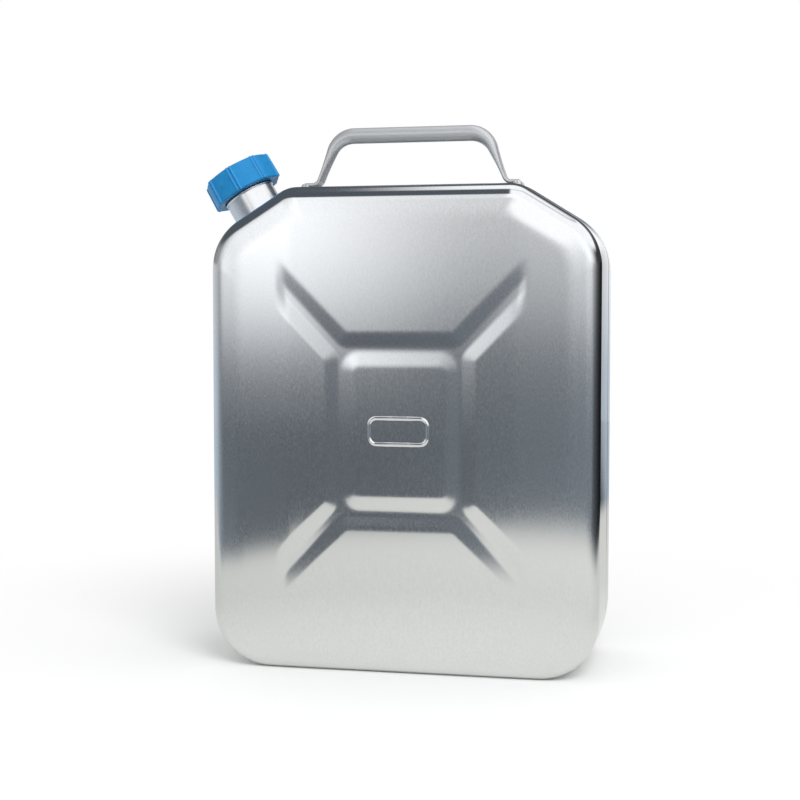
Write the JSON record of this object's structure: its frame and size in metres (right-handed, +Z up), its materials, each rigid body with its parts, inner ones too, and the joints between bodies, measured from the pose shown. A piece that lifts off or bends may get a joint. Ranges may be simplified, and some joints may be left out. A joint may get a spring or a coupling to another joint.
{
  "type": "fuel can",
  "caption": "Welded aluminium fuel can with pressed X grooves, a tubular carry handle on top and a leaning filler neck closed by a ribbed screw cap.",
  "frame": {"origin": "middle of the can's underside, on the ground, in the plane of the seam", "axes": "+Z up, +X to the right of a viewer who faces the front panel, +Y from the front panel to the back"},
  "size_m": [0.3692, 0.15, 0.4805],
  "materials": {
    "rolled_aluminium": "brushed, fine vertical grain",
    "weld_aluminium": "ground weld bead",
    "drawn_aluminium": "drawn tube, satin",
    "turned_aluminium": "turned",
    "blue_plastic": "moulded, half gloss",
    "black_rubber": "matt"
  },
  "bodies": {
    "can": {"front_shell": "rolled_aluminium", "rear_shell": "rolled_aluminium", "seam_weld": "weld_aluminium", "filler_neck": "turned_aluminium", "neck_weld": "weld_aluminium", "carry_handle": "drawn_aluminium", "handle_weld_left": "weld_aluminium", "handle_weld_right": "weld_aluminium"},
    "seal": {"cap_gasket": "black_rubber"},
    "cap": {"screw_cap": "blue_plastic"}
  },
  "joints": [
    {"name": "cap_rise", "type": "slide", "parent": "can", "child": "seal", "axis": [-0.5, 0, 0.866], "range_m": [0, 0.0201]},
    {"name": "cap_unscrew", "type": "hinge", "parent": "seal", "child": "cap", "pos_m": [-0.14302, 0, 0.39892], "axis": [-0.5, 0, 0.866], "range_deg": [0, 1440]}
  ],
  "couplings": [
    {"joint": "cap_rise", "follows": "cap_unscrew", "m_per_rad": 0.00079577}
  ]
}
